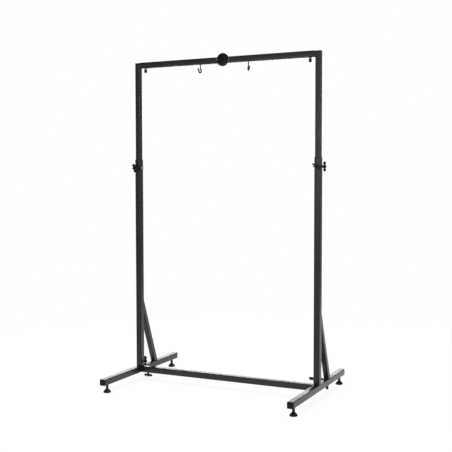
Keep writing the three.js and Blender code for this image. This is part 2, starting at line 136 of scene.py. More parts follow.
# Hooks, seen from the top bar's underside, and their inserts
HOOK_X = 150.0
HOOK_CENTRE, HOOK_TIP, HOOK_CURL = (-2.2, 0.0, -37.5), (-17.0, 0.0, -21.0), 8.0
HOOK_RISE, HOOK_SHANK, HOOK_WIRE = 12, 3.0, 3.9
HOOK_THICKENS = (20.5, 22.5)
INSERT_BORE, INSERT_HOLE, INSERT_BARREL, INSERT_BULGE = 3.3, 5.3, 5, 6.5
INSERT_FACE, INSERT_LENGTH = -1.3, 9

# Badge
BADGE_RADIUS, RIM_WIDTH, RIM_DEPTH, BADGE_DEPTH = 37.5, 1.8, 3.6, 3.0
BADGE_EDGE, BADGE_CROWN = 2.4, 0.6
PIN_X, PIN_RADIUS, PIN_HOLE, PIN_LENGTH = 20, 2, 2.3, 5

# Turns about the screws and about the hooks, in degrees, and the right hook's lower seat
SIDES = {"left": -1, "right": 1}
ENDS = {"front": -1, "rear": 1}
TURNS = {
    "lock": {"left": -23, "right": 0},
    "front": {"left": 35.5, "right": 55},
    "top": {"left": 57, "right": 70},
    "base": {"left": 0, "right": 25},
    "inner": {"left": -6, "right": 112},
    "rear": {"left": 30, "right": -72},
    "brace": {"left": 60, "right": 68},
}
HOOK_TURN = {"left": 170, "right": 95}
HOOK_DROP = {"left": 0.0, "right": 3.0}
RIGHT, DOWN, UP, BACK, FRONT = (1, 0, 0), (0, 0, -1), (0, 0, 1), (0, 1, 0), (0, -1, 0)


# The camera
def make_camera():
    level = math.cos(PITCH)
    forward = Vector((-math.sin(YAW) * level, math.cos(YAW) * level, -math.sin(PITCH)))
    right = Vector((math.cos(YAW), math.sin(YAW), 0))
    above = right.cross(forward)
    right, above = (
        right * math.cos(ROLL) + above * math.sin(ROLL),
        above * math.cos(ROLL) - right * math.sin(ROLL),
    )
    turn = Matrix((right, above, -forward)).transposed().to_4x4()
    data = bpy.data.cameras.new("camera")
    data.sensor_width = SENSOR
    data.lens = FOCAL_PIXELS / PICTURE_PIXELS * SENSOR
    data.clip_start, data.clip_end = CLIP_START, CLIP_END
    camera = bpy.data.objects.new("camera", data)
    scene.collection.objects.link(camera)
    camera.matrix_world = Matrix.Translation(CAMERA_PLACE) @ turn
    scene.camera = camera


make_camera()


# Shapes are pairs of an array of points and a list of faces
def join(*shapes):
    points, faces, start = [], [], 0
    for own, loops in shapes:
        points.append(own)
        faces += [tuple(i + start for i in loop) for loop in loops]
        start += len(own)
    return np.concatenate(points), faces


def moved(shape, matrix):
    points, faces = shape
    m = np.array(matrix, float)
    return points @ m[:3, :3].T + m[:3, 3], faces


def turned_out(shape):
    """The same shape with its faces looking the other way."""
    points, faces = shape
    return points, [loop[::-1] for loop in faces]


def at(x, y, z):
    return Matrix.Translation((x, y, z))


def aimed(point, outward, reference=None):
    """The place of a shape made along Z, put at a point and turned to look outward."""
    z = Vector(outward).normalized()
    if reference is None:
        reference = RIGHT if abs(z.x) < 0.5 else UP
    x = Vector(reference)
    x = (x - z * x.dot(z)).normalized()
    turn = Matrix((x, z.cross(x), z)).transposed().to_4x4()
    return Matrix.Translation(point) @ turn


def round_angles(steps):
    return np.arange(steps) * 2 * math.pi / steps


def square(size, corner, z, steps=6):
    """A ring of points round a square with round corners and barely convex sides."""
    half, quarter = size / 2 - corner, []
    for i in range(steps + 1):
        a = math.pi / 2 * i / steps
        quarter.append((half + corner * math.cos(a), half + corner * math.sin(a)))
    for share in (0.5, 0.0, -0.5):
        quarter.append((share * half, size / 2 + CONVEXITY * 2 * half * (1 - share**2)))
    points = []
    for k in range(4):
        c, s = math.cos(math.pi / 2 * k), math.sin(math.pi / 2 * k)
        points += [(x * c - y * s, x * s + y * c, z) for x, y in quarter]
    return np.array(points)


def loft(rings, closed=False):
    """Faces from each ring to the next; closed joins the last to the first."""
    count, total = len(rings[0]), len(rings)
    faces = []
    for r in range(total if closed else total - 1):
        a, b = r * count, (r + 1) % total * count
        for i in range(count):
            j = (i + 1) % count
            faces.append((a + i, a + j, b + j, b + i))
    if not closed:
        faces.append(tuple(range(count))[::-1])
        faces.append(tuple(range((total - 1) * count, total * count)))
    return np.concatenate(rings), faces


def square_tube(size, start, end, wall=WALL, edge=SAWN_EDGE):
    """A tube along Z with its sawn ends broken by a small chamfer."""
    inner = size - 2 * wall
    rings = [
        square(size - 2 * edge, CORNER - edge, start),
        square(size, CORNER, start + edge),
        square(size, CORNER, end - edge),
        square(size - 2 * edge, CORNER - edge, end),
        square(inner, CORNER - wall, end),
        square(inner, CORNER - wall, start),
    ]
    return loft(rings, closed=True)


def lathe(profile, steps=48, closed=False):
    """Turns (radius, height) points about Z; the outer side runs upwards."""
    points, rows, faces = [], [], []
    for radius, height in profile:
        if radius < NIL:
            rows.append([len(points)])
            points.append((0, 0, height))
        else:
            rows.append(list(range(len(points), len(points) + steps)))
            for i in range(steps):
                a = 2 * math.pi * i / steps
                points.append((radius * math.cos(a), radius * math.sin(a), height))
    pairs = list(zip(rows, rows[1:] + rows[:1]))
    for low, high in pairs if closed else pairs[:-1]:
        for i in range(steps):
            j = (i + 1) % steps
            loop = (
                low[i % len(low)],
                low[j % len(low)],
                high[j % len(high)],
                high[i % len(high)],
            )
            loop = tuple(dict.fromkeys(loop))
            if len(loop) > 2:
                faces.append(loop)
    return np.array(points, float), faces


def softened(profile, radii, steps=4):
    """Rounds corners of a profile: radii gives the radius of each corner by its place."""
    longest = 0.49
    made = []
    for k, corner in enumerate(profile):
        radius = radii.get(k, 0)
        if not radius:
            made.append(tuple(corner))
            continue
        p = np.array(corner, float)
        u = np.array(profile[k - 1], float) - p
        v = np.array(profile[(k + 1) % len(profile)], float) - p
        lu, lv = np.linalg.norm(u), np.linalg.norm(v)
        u, v = u / lu, v / lv
        half = math.acos(max(-1.0, min(1.0, float(u @ v)))) / 2
        reach = min(radius / math.tan(half), longest * lu, longest * lv)
        a, b, w = p + u * reach, p + v * reach, math.sin(half)
        for i in range(steps + 1):
            s = i / steps
            k0, k1, k2 = (1 - s) ** 2, 2 * w * s * (1 - s), s * s
            made.append(tuple((k0 * a + k1 * p + k2 * b) / (k0 + k1 + k2)))
    return made


def cutter(radius, start, end, high, low=None, steps=32, chamfer=0.25):
    """What a drill takes away along Z, with a broken edge at the faces where it leaves."""
    wide = radius + chamfer
    if low is None:
        profile = [(0, start), (radius, start)]
    else:
        profile = [(0, start), (wide, start), (wide, low), (radius, low + chamfer)]
    profile += [(radius, high - chamfer), (wide, high), (wide, end), (0, end)]
    return lathe(profile, steps)


def bead(path, sideways, radius, ripple=1.7, steps=8):
    """A weld bead round a closed path, with the ripples that the torch leaves."""
    least, swing = 0.86, 0.2
    ahead = np.roll(path, -1, 0) - np.roll(path, 1, 0)
    ahead /= np.linalg.norm(ahead, axis=1)[:, None]
    other = np.cross(ahead, sideways)
    gaps = np.linalg.norm(np.roll(path, -1, 0) - path, axis=1)
    run = np.concatenate(([0], np.cumsum(gaps)[:-1]))
    total = run[-1] + gaps[-1]
    count = round(total / ripple)
    swell = radius * (least + swing * np.abs(np.sin(math.pi * count * run / total)))
    a = round_angles(steps)
    c, s = np.cos(a)[:, None], np.sin(a)[:, None]
    rings = [p + w * (c * u + s * v) for p, w, u, v in zip(path, swell, sideways, other)]
    return turned_out(loft(rings, closed=True))


def ring_bead(radius, lift, bead_radius, steps=112):
    """A bead round a boss that stands along Z."""
    a = round_angles(steps)
    side = np.stack([np.cos(a), np.sin(a), 0 * a], 1)
    return bead(side * radius + [0, 0, lift], side, bead_radius)


def thread(radius, start, end, pitch=1.25, steps=24, plain=()):
    """A threaded shank along Z, chamfered at both ends; plain gives stretches left smooth."""
    rows_per_turn, depth_share, flank, crest = 4, 0.6, 1.25, 0.1
    count = int((end - start) / pitch * rows_per_turn)
    rows = [start + i * pitch / rows_per_turn for i in range(count)]
    rows = [z for z in rows if not any(a < z < b for a, b in plain)] + [end]
    depth, a = depth_share * pitch, round_angles(steps)
    rings = []
    for z in rows:
        phase = (z / pitch - a / (2 * math.pi)) % 1
        r = radius - depth * np.clip(np.abs(2 * phase - 1) * flank - crest, 0, 1)
        r = np.minimum(r, radius - depth + min(z - start, end - z, depth))
        rings.append(np.stack([r * np.cos(a), r * np.sin(a), 0 * a + z], 1))
    return loft(rings)


def surface_where_zero(distance, low, high, step):
    """A closed surface where a distance function is zero: a net over a grid, pulled onto it."""
    pulls, probe, longest_pull, least_slope = 4, 0.01, 0.4, 0.25
    axes = [np.arange(a, b + step, step) for a, b in zip(low, high)]
    grid = np.stack(np.meshgrid(*axes, indexing="ij"), -1)
    value = distance(grid.reshape(-1, 3)).reshape(grid.shape[:3])
    inside = value < 0
    cells = tuple(n - 1 for n in value.shape)
    total, weight = np.zeros(cells + (3,)), np.zeros(cells)

    def part(data, shift):
        return data[tuple(slice(s, s + n) for s, n in zip(shift, cells))]

    for axis in range(3):
        b, c = (axis + 1) % 3, (axis + 2) % 3
        for sb in (0, 1):
            for sc in (0, 1):
                shift = [0, 0, 0]
                shift[b], shift[c] = sb, sc
                v0, g0 = part(value, shift), part(grid, shift)
                shift[axis] = 1
                v1, g1 = part(value, shift), part(grid, shift)
                crossed = (v0 < 0) != (v1 < 0)
                t = np.where(crossed, v0 / np.where(crossed, v0 - v1, 1), 0)
                total += np.where(crossed[..., None], g0 + (g1 - g0) * t[..., None], 0)
                weight += crossed
    mixed = weight > 0
    index = np.full(cells, -1)
    index[mixed] = np.arange(mixed.sum())
    points = total[mixed] / weight[mixed][:, None]
    faces = []
    for axis in range(3):
        b, c = (axis + 1) % 3, (axis + 2) % 3
        lower = np.take(inside, range(cells[axis]), axis)
        upper = np.take(inside, range(1, cells[axis] + 1), axis)
        step_b, step_c = np.eye(3, dtype=int)[b], np.eye(3, dtype=int)[c]
        for cell in np.argwhere(lower != upper):
            quad = [cell, cell - step_b, cell - step_b - step_c, cell - step_c]
            loop = tuple(int(index[tuple(q)]) for q in quad)
            faces.append(loop if lower[tuple(cell)] else loop[::-1])
    for _ in range(pulls):
        nudges = np.eye(3) * probe
        slope = [(distance(points + e) - distance(points - e)) / (2 * probe) for e in nudges]
        slope = np.stack(slope, 1)
        pull = distance(points) / np.maximum((slope**2).sum(1), least_slope)
        points = points - slope * np.clip(pull, -longest_pull, longest_pull)[:, None]
    return points, faces


def dense(outline, step):
    """The same closed outline with points close together."""
    made = []
    for a, b in zip(outline, np.roll(outline, -1, 0)):
        gap = np.linalg.norm(b - a)
        if gap < NIL:
            continue
        count = max(1, round(gap / step))
        made += [a + (b - a) * i / count for i in range(count)]
    return np.array(made)


def raw_object(shape):
    mesh = bpy.data.meshes.new("raw")
    mesh.from_pydata(shape[0].tolist(), [], shape[1])
    made = bpy.data.objects.new("raw", mesh)
    scene.collection.objects.link(made)
    return made


def without(shape, *tools):
    """A shape less the tools, which don't touch each other."""
    body, tool = raw_object(shape), raw_object(join(*tools))
    change = body.modifiers.new("cut", "BOOLEAN")
    change.operation, change.solver, change.object = "DIFFERENCE", "EXACT", tool
    seen = body.evaluated_get(bpy.context.evaluated_depsgraph_get())
    mesh = bpy.data.meshes.new_from_object(seen)
    points = np.array([v.co for v in mesh.vertices], float)
    faces = [tuple(p.vertices) for p in mesh.polygons]
    for old in (body, tool):
        data = old.data
        bpy.data.objects.remove(old)
        bpy.data.meshes.remove(data)
    bpy.data.meshes.remove(mesh)
    return points, faces


def finished_mesh(name, shape, material, sharp=32):
    """A mesh in metres whose flat faces stay flat and whose rounds are smooth."""
    mesh = bpy.data.meshes.new(name)
    mesh.from_pydata((shape[0] * MM).tolist(), [], shape[1])
    mesh.polygons.foreach_set("use_smooth", [True] * len(mesh.polygons))
    mesh.set_sharp_from_angle(angle=math.radians(sharp))
    mesh.materials.append(material)
    holder = bpy.data.objects.new("holder", mesh)
    scene.collection.objects.link(holder)
    change = holder.modifiers.new("normals", "WEIGHTED_NORMAL")
    change.keep_sharp, change.mode, change.weight = True, "FACE_AREA", 50
    seen = holder.evaluated_get(bpy.context.evaluated_depsgraph_get())
    made = bpy.data.meshes.new_from_object(seen)
    bpy.data.objects.remove(holder)
    bpy.data.meshes.remove(mesh)
    made.name = name
    return made


def piece(name, mesh, node, place=None):
    """An object that stands for a node and rides on its body; its finish comes with its mesh.
    """
    made = bpy.data.objects.new(name, mesh)
    scene.collection.objects.link(made)
    if place is not None:
        m = Matrix(place)
        m.translation *= MM
        made.matrix_world = m
    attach(made, frame["nodes"][node]["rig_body"])
    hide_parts(node)


# Finishes; a noise's values mostly lie in this span
NOISE_SPAN = (0.3, 0.7)


class Finish:
    """A material's nodes, with the shader's own sockets set by name."""

    def __init__(self, name, **sockets):
        self.material = bpy.data.materials.new(name)
        self.material.use_nodes = True
        self.tree = self.material.node_tree
        self.shader = self.tree.nodes["Principled BSDF"]
        for socket, value in sockets.items():
            self.shader.inputs[socket.replace("_", " ")].default_value = value
        self.place = self.add("ShaderNodeTexCoord").outputs["Object"]

    def add(self, kind, **sockets):
        made = self.tree.nodes.new(kind)
        for socket, value in sockets.items():
            self.fill(made.inputs[socket.replace("_", " ")], value)
        return made

    def fill(self, socket, value):
        if isinstance(value, bpy.types.NodeSocket):
            self.tree.links.new(value, socket)
        else:
            socket.default_value = value

    def noise(self, per_metre, detail, stretch=None):
        vector = self.place
        if stretch:
            vector = self.add("ShaderNodeMapping", Vector=vector, Scale=stretch).outputs[0]
        made = self.add("ShaderNodeTexNoise", Vector=vector, Scale=per_metre, Detail=detail)
        return made.outputs["Fac"]

    def ranged(self, value, low, high, span=NOISE_SPAN):
        made = self.add("ShaderNodeMapRange", Value=value, To_Min=low, To_Max=high)
        for key, number in zip(("From Min", "From Max"), span):
            made.inputs[key].default_value = number
        return made.outputs["Result"]

    def two_tone(self, value, dark, light):
        """A colour that drifts from dark to light."""
        made = self.add("ShaderNodeValToRGB", Fac=value)
        for point, place, colour in zip(made.color_ramp.elements, NOISE_SPAN, (dark, light)):
            point.position, point.color = place, (*colour, 1)
        return made.outputs["Color"]

    def mixed(self, share, first, second):
        made = self.add("ShaderNodeMix")
        made.data_type = "RGBA"
        for k, value in ((0, share), (6, first), (7, second)):
            self.fill(made.inputs[k], value)
        return made.outputs[2]

    def set(self, socket, value):
        self.tree.links.new(value, self.shader.inputs[socket])

    def bump(self, *layers):
        """Layers are (height, depth in metres), each laid on the one before."""
        normal = None
        for height, depth in layers:
            made = self.add("ShaderNodeBump", Height=height, Distance=depth, Strength=1.0)
            if normal is not None:
                self.tree.links.new(normal, made.inputs["Normal"])
            normal = made.outputs["Normal"]
        self.set("Normal", normal)


def painted_steel():
    """Semi-gloss black powder coat with a faint orange peel and a little dust."""
    f = Finish("painted_steel", IOR=1.5)
    cloud = f.noise(9, 4)
    fine = f.noise(420, 2)
    base = f.two_tone(cloud, (0.0052, 0.0052, 0.0055), (0.0082, 0.0082, 0.0085))
    dust = f.ranged(f.noise(1300, 1), low=0, high=0.35, span=(0.69, 0.76))
    f.set("Base Color", f.mixed(dust, base, (0.035, 0.034, 0.033, 1)))
    f.set("Roughness", f.ranged(cloud, low=0.25, high=0.32))
    f.bump((fine, 0.000007), (f.noise(1500, 1), 0.0000012))
    return f.material


def black_plastic():
    """Moulded plastic with a fine spark-eroded grain."""
    f = Finish("black_plastic", IOR=1.33)
    cloud = f.noise(35, 3)
    f.set("Base Color", f.two_tone(cloud, (0.0022, 0.0022, 0.0024), (0.0038, 0.0038, 0.0040)))
    f.set("Roughness", f.ranged(cloud, low=0.36, high=0.46))
    f.bump((f.noise(2300, 2), 0.000009), (f.noise(160, 2), 0.00002))
    return f.material


def zinc_steel():
    """Bright zinc plating, a little cloudy, with a fine grain."""
    f = Finish("zinc_steel", Metallic=1.0)
    cloud = f.noise(180, 3)
    f.set("Base Color", f.two_tone(cloud, (0.50, 0.51, 0.53), (0.68, 0.69, 0.70)))
    f.set("Roughness", f.ranged(f.noise(420, 2), low=0.22, high=0.36))
    f.bump((f.noise(2600, 2), 0.000008))
    return f.material


def black_steel():
    """Black oxide on steel wire and screws: dark, smooth and slightly oily."""
    f = Finish("black_steel", IOR=1.45)
    cloud = f.noise(120, 4)
    f.set("Base Color", f.two_tone(cloud, (0.0040, 0.0040, 0.0043), (0.0095, 0.0092, 0.0090)))
    f.set("Roughness", f.ranged(f.noise(260, 3), low=0.22, high=0.34))
    f.bump((f.noise(1800, 2), 0.00001))
    return f.material


def badge_black():
    """Gloss black lacquer on the badge's face."""
    f = Finish("badge_black", IOR=1.34)
    cloud = f.noise(60, 3)
    f.set("Base Color", f.two_tone(cloud, (0.0022, 0.0022, 0.0026), (0.0038, 0.0038, 0.0042)))
    f.set("Roughness", f.ranged(f.noise(90, 3), low=0.06, high=0.12))
    f.bump((f.noise(140, 2), 0.00001))
    return f.material


def gold_rim():
    """Satin brass-coloured rim with a fine streaked brushing."""
    f = Finish("gold_rim", Metallic=1.0)
    cloud = f.noise(150, 3)
    f.set("Base Color", f.two_tone(cloud, (0.36, 0.27, 0.115), (0.47, 0.36, 0.17)))
    f.set("Roughness", f.ranged(f.noise(900, 2, stretch=(1, 6, 1)), low=0.24, high=0.38))
    f.bump((f.noise(2400, 2), 0.000008))
    return f.material


PAINT, PLASTIC, ZINC = painted_steel(), black_plastic(), zinc_steel()
OXIDE, LACQUER, GOLD = black_steel(), badge_black(), gold_rim()


# Drilled holes and welded bosses
def through_hole(centre, direction, half, radius=HOLE_RADIUS):
    """A hole right through a tube, both walls."""
    tool = cutter(radius, -half - OVERRUN, half + OVERRUN, high=half, low=-half)
    return moved(tool, aimed(centre, direction))


def wall_hole(point, outward, radius=HOLE_RADIUS):
    """A hole through the one wall whose face is at a point."""
    tool = cutter(radius, -WALL - WALL_CUT, OVERRUN, high=0)
    return moved(tool, aimed(point, outward))


def boss(point, outward):
    """A round threaded boss and its weld."""
    profile = [
        (HOLE_RADIUS, -SUNK),
        (BOSS_RADIUS, -SUNK),
        (BOSS_RADIUS, BOSS_HEIGHT),
        (HOLE_RADIUS, BOSS_HEIGHT),
    ]
    ring = lathe(softened(profile, {2: 0.7, 3: 0.5}, steps=3), steps=40, closed=True)
    weld = ring_bead(BOSS_RADIUS + BOSS_BEAD_OUT, BOSS_BEAD_LIFT, BOSS_BEAD)
    return moved(join(ring, weld), aimed(point, outward))


# Feet: the tube, the post's spigot and the bottom bar's stub
def foot_mesh(name, sign):
    half = FOOT_LENGTH / 2 - CAP_FLANGE - SEAT
    under, brace_hole = (0, BRACE_SCREW_Y, FOOT_UNDER), (0, BRACE_SCREW_Y, FOOT_TOP)
    holes = [wall_hole((0, e * PAD_Y, FOOT_UNDER), DOWN) for e in ENDS.values()]
    holes += [wall_hole(under, DOWN), wall_hole(brace_hole, UP)]
    tube = moved(square_tube(OUTER, -half, half), aimed((0, 0, FOOT_AXIS), BACK))
    spigot = moved(square_tube(INNER, FOOT_TOP - SUNK, FOOT_TOP + SPIGOT), at(0, POST_Y, 0))
    stub = moved(
        square_tube(INNER, OUTER / 2 - SUNK, OUTER / 2 + STUB),
        aimed((0, POST_Y, FOOT_AXIS), (-sign, 0, 0)),
    )
    shape = join(without(tube, *holes), spigot, stub, boss(under, DOWN))
    return finished_mesh(name, shape, PAINT)


# Posts
def row_of_holes(half, steps):
    """Adjusting holes at so many steps above the lock."""
    heights = [LOCK_HEIGHT + step * HOLE_PITCH for step in steps]
    return [through_hole((0, 0, z), RIGHT, half, ROW_RADIUS) for z in heights]


def lower_post_mesh(name, sign):
    half = OUTER / 2
    bosses = [
        ((sign * half, 0, LOCK_HEIGHT), (sign, 0, 0)),
        ((0, -half, LOCK_HEIGHT), FRONT),
        ((-sign * half, 0, POST_CLAMP), (-sign, 0, 0)),
        ((0, half, POST_CLAMP), BACK),
    ]
    holes = [through_hole((0, 0, LOCK_HEIGHT), RIGHT, half)]
    holes += row_of_holes(half, range(-1, -HOLES_DOWN_SLEEVE - 1, -1))
    holes += [wall_hole(point, outward) for point, outward in bosses[1:]]
    holes.append(through_hole((0, 0, BRACE_TOP), BACK, half, BOLT_HOLE))
    tube = without(square_tube(OUTER, FOOT_TOP + SEAT, SLEEVE_TOP), *holes)
    return finished_mesh(name, join(tube, *[boss(*b) for b in bosses]), PAINT)


def mitre_groove(sign, way, half):
    """The ground weld's line across the corner, outer top to inner bottom, as a fine V."""
    wide, deep, above, beyond = 1.2, 0.3, 0.9, half + 1.5
    ends = [
        np.array((sign * reach, way * half, TOP_BAR_AXIS + reach), float)
        for reach in (beyond, -beyond)
    ]
    run = ends[1] - ends[0]
    outward = np.array((0, way, 0), float)
    across = np.cross(run / np.linalg.norm(run), outward) * wide
    corners = np.array((outward * above - across, -outward * deep, outward * above + across))
    return loft([end + corners for end in ends])


def upper_post_mesh(name, sign):
    """A tube with a mitred corner: it rises, then runs towards the middle as a leg."""
    half, inner, edge = INNER / 2, INNER - 2 * WALL, SAWN_EDGE
    bottom = LOCK_HEIGHT - HOLES_DOWN_POST * HOLE_PITCH - POST_TAIL
    end = half + TOP_LEG

    def corner_ring(size, corner):
        x, y, _ = square(size, corner, 0).T
        return np.stack([x, y, TOP_BAR_AXIS + sign * x], 1)

    def leg_ring(size, corner, run):
        x, y, _ = square(size, corner, 0).T
        return np.stack([0 * x - sign * run, y, TOP_BAR_AXIS + sign * x], 1)

    rings = [
        square(INNER - 2 * edge, CORNER - edge, bottom),
        square(INNER, CORNER, bottom + edge),
        corner_ring(INNER, CORNER),
        leg_ring(INNER, CORNER, end - edge),
        leg_ring(INNER - 2 * edge, CORNER - edge, end),
        leg_ring(inner, CORNER - WALL, end),
        corner_ring(inner, CORNER - WALL),
        square(inner, CORNER - WALL, bottom),
    ]
    tools = row_of_holes(half, range(-HOLES_DOWN_POST, HOLES_UP_POST + 1))
    tools += [mitre_groove(sign, way, half) for way in (-1, 1)]
    return finished_mesh(name, without(loft(rings, closed=True), *tools), PAINT)


# Bars
def both(x, y, z):
    """The same place on the left and on the right."""
    return [(sign * x, y, z) for sign in SIDES.values()]


def bottom_bar_mesh(name):
    half = POST_X - OUTER / 2 - SEAT
    tube = moved(square_tube(OUTER, -half, half), aimed((0, POST_Y, FOOT_AXIS), RIGHT))
    clamps = both(BASE_CLAMP_X, POST_Y, FOOT_UNDER)
    tube = without(tube, *[wall_hole(p, DOWN) for p in clamps])
    return finished_mesh(name, join(tube, *[boss(p, DOWN) for p in clamps]), PAINT)


def top_bar_mesh(name):
    half = POST_X - INNER / 2 - TOP_BAR_STANDOFF
    tube = square_tube(TOP_BAR, -half, half, TOP_BAR_WALL, TOP_BAR_EDGE)
    clamps = both(TOP_CLAMP_X, POST_Y, TOP_BAR_UNDER)
    hooks = both(HOOK_X, POST_Y, TOP_BAR_UNDER)
    pins = both(PIN_X, POST_Y - TOP_BAR / 2, TOP_BAR_AXIS)
    tools = [wall_hole(p, DOWN) for p in clamps]
    tools += [wall_hole(p, DOWN, INSERT_HOLE) for p in hooks]
    tools += [wall_hole(p, FRONT, PIN_HOLE) for p in pins]
    tube = without(moved(tube, aimed((0, POST_Y, TOP_BAR_AXIS), RIGHT)), *tools)
    return finished_mesh(name, join(tube, *[boss(p, DOWN) for p in clamps]), PAINT)


# Braces: a leaning tube cut flat at both ends, each closed by a welded plate
def leaning_solid(place, length, back, low):
    """The brace's block, with the edges of its two end faces broken."""
    start, end, near = -length - 2 * INNER, 2 * OUTER + INNER, 1e-3
    points, faces = moved(loft([square(INNER, CORNER, z) for z in (start, end)]), place)
    block = bmesh.new()
    corners = [block.verts.new(p) for p in points.tolist()]
    for loop in faces:
        block.faces.new([corners[i] for i in loop])
    for point, normal in (((0, back, 0), FRONT), ((0, 0, low), DOWN)):
        whole = block.verts[:] + block.edges[:] + block.faces[:]
        bmesh.ops.bisect_plane(
            block, geom=whole, plane_co=point, plane_no=normal, clear_outer=True
        )
        rim = [e for e in block.edges if e.is_boundary]
        bmesh.ops.holes_fill(block, edges=rim)
    ends = [
        f
        for f in block.faces
        if all(abs(v.co.y - back) < near for v in f.verts)
        or all(abs(v.co.z - low) < near for v in f.verts)
    ]
    rims = list({e for f in ends for e in f.edges})
    bmesh.ops.bevel(
        block, geom=rims, offset=BRACE_EDGE, segments=2, profile=0.5, affect="EDGES"
    )
    block.verts.index_update()
    points = np.array([v.co for v in block.verts], float)
    faces = [tuple(v.index for v in f.verts) for f in block.faces]
    block.free()
    return points, faces


def brace_mesh(name):
    run, rise = BRACE_REACH - OUTER / 2, BRACE_TOP - FOOT_TOP
    lean, length = math.atan2(run, rise), math.hypot(run, rise)
    back, low = OUTER / 2 + SEAT, FOOT_TOP + SEAT
    place = at(0, OUTER / 2, BRACE_TOP) @ Matrix.Rotation(lean, 4, "X")
    outline = dense(square(INNER + 2 * BRACE_BEAD_OUT, CORNER, 0, steps=24), 0.42)
    flat, _ = moved((outline, []), place)
    core, _ = moved((outline * 0.9, []), place)
    side = flat - core
    side /= np.linalg.norm(side, axis=1)[:, None]
    axis = np.array(place.to_3x3() @ Vector(UP))
    beads = []
    for level, normal in ((back + BRACE_PLATE, BACK), (low + BRACE_PLATE, UP)):
        normal = np.array(normal, float)
        path = flat + ((level - flat @ normal) / (axis @ normal))[:, None] * axis
        beads.append(bead(path, side, BRACE_BEAD, ripple=1.6, steps=6))
    return finished_mesh(name, join(leaning_solid(place, length, back, low), *beads), PAINT)


def brace_bolt_mesh(name):
    """A button head with a hexagon socket and its threaded end."""
    reach = OUTER + 2 * SEAT + BRACE_PLATE + BRACE_NUT + BOLT_TAIL
    flat, shoulder, floor = 3.6, 1.6, 1.8
    profile = [
        (0, 0),
        (BOLT_HEAD, 0),
        (BOLT_HEAD, shoulder),
        (flat, BOLT_HEAD_HEIGHT),
        (0, BOLT_HEAD_HEIGHT),
    ]
    head = lathe(softened(profile, {1: 0.3, 2: 1.2, 3: 1.8}), steps=40)
    a = round_angles(6)
    x, y = BOLT_SOCKET * np.cos(a), BOLT_SOCKET * np.sin(a)
    socket = loft([np.stack([x, y, 0 * a + z], 1) for z in (floor, BOLT_HEAD_HEIGHT + 2)])
    in_post, overlap = (-33, -1), 0.2
    shank = thread(BOLT_RADIUS, -reach, overlap, pitch=1, steps=20, plain=[in_post])
    return finished_mesh(name, join(without(head, socket), shank), OXIDE)


# Hand screws: a moulded wing head on a zinc-plated screw
def smooth_min(a, b, k):
    h = np.clip(0.5 + 0.5 * (b - a) / k, 0, 1)
    return b * (1 - h) + a * h - k * h * (1 - h)


def rounded(a, b, soft):
    """The distance to where two bounds both hold, with the edge between them rounded."""
    a, b = a + soft, b + soft
    outside = np.hypot(np.maximum(a, 0), np.maximum(b, 0))
    return outside + np.minimum(np.maximum(a, b), 0) - soft


def wing_distance(p):
    """The head's surface: X runs along the wings, Y across them and Z out along the screw."""
    taper, taper_start, hub_taper, hub_widest, crown = 0.035, 8, 0.03, 12, 0.02
    waist_blend, hub_blend = 1.5, 2.6
    x, y, z = p.T
    u, h, r = np.abs(x), z - WING_HEIGHT, np.hypot(x, y)
    lobe = np.hypot(u - LOBE_X, h) - LOBE_RADIUS
    waist = np.abs(h) - (WAIST + FLARE * (np.minimum(u, FLARE_END) / FLARE_END) ** 2)
    flat = smooth_min(lobe, np.maximum(waist, u - LOBE_X), waist_blend)
    dish = np.clip(1 - (np.hypot(u - DISH_X, h) / DISH_RADIUS) ** 2, 0, 1)
    thick = WING_HALF - taper * np.maximum(u - taper_start, 0) - DISH_DEPTH * dish
    wings = rounded(flat, np.abs(y) - thick, WING_SOFT)
    hub = r - (HUB_RADIUS - hub_taper * np.abs(z - hub_widest))
    hub = rounded(hub, z - (HUB_END - crown * r**2), HUB_SOFT)
    body = smooth_min(wings, np.maximum(hub, HUB_START - z), hub_blend)
    return np.maximum(body, np.minimum(HUB_BORE - r, HUB_END - HUB_FLOOR - z))


WING = finished_mesh(
    "wing_head", surface_where_zero(wing_distance, *WING_BOX, WING_GRID), PLASTIC, sharp=42
)


def screw_mesh(name, depth):
    """A screw that reaches so deep, smooth where the head hides it."""
    end, hidden = HUB_END - 4, (HUB_START + 1.5, HUB_END - 5)
    shank = thread(SHANK, -depth, end, plain=[hidden])
    return finished_mesh(name, shank, ZINC, sharp=THREAD_SHARP)


SCREWS = {
    "clamp": screw_mesh("clamp_screw", WALL + TELESCOPE_GAP - SEAT),
    "top": screw_mesh("top_screw", TOP_BAR_WALL),
    "lock": screw_mesh("lock_screw", OUTER + LOCK_TAIL),
    "brace": screw_mesh("brace_screw", OUTER + SEAT + BRACE_PLATE + BRACE_NUT),
}


def hand_screw(kind, side, point, outward, shank="clamp"):
    reference = Vector(RIGHT if abs(outward[2]) > 0.5 else UP)
    turn = Matrix.Rotation(math.radians(TURNS[kind][side]), 4, Vector(outward))
    place = aimed(point, outward, turn @ reference)
    piece(f"{kind}_head_{side}", WING, f"{kind}_wing_{side}", place)
    piece(f"{kind}_shank_{side}", SCREWS[shank], f"{kind}_screw_{side}", place)


# Levelling feet
def pad_mesh(name):
    groove_start, groove_in, groove_out = PAD_GROOVE
    profile = [
        (0, 0),
        (groove_start, 0),
        (groove_in, PAD_GROOVE_DEPTH),
        (groove_out, PAD_GROOVE_DEPTH),
        (PAD_RADIUS - PAD_EDGE, 0),
        (PAD_RADIUS, PAD_EDGE),
        (PAD_RADIUS, PAD_RIM),
        (PAD_NECK, PAD_CONE_TOP),
        (PAD_NECK, PAD_TOP),
        (PAD_SOCKET, PAD_TOP),
        (PAD_SOCKET, STUD_SEAT),
        (0, STUD_SEAT),
    ]
    radii = {5: 1.2, 6: 1.6, 7: 3.0, 8: 0.7, 9: 0.4}
    return finished_mesh(name, lathe(softened(profile, radii, steps=5), steps=64), PLASTIC)


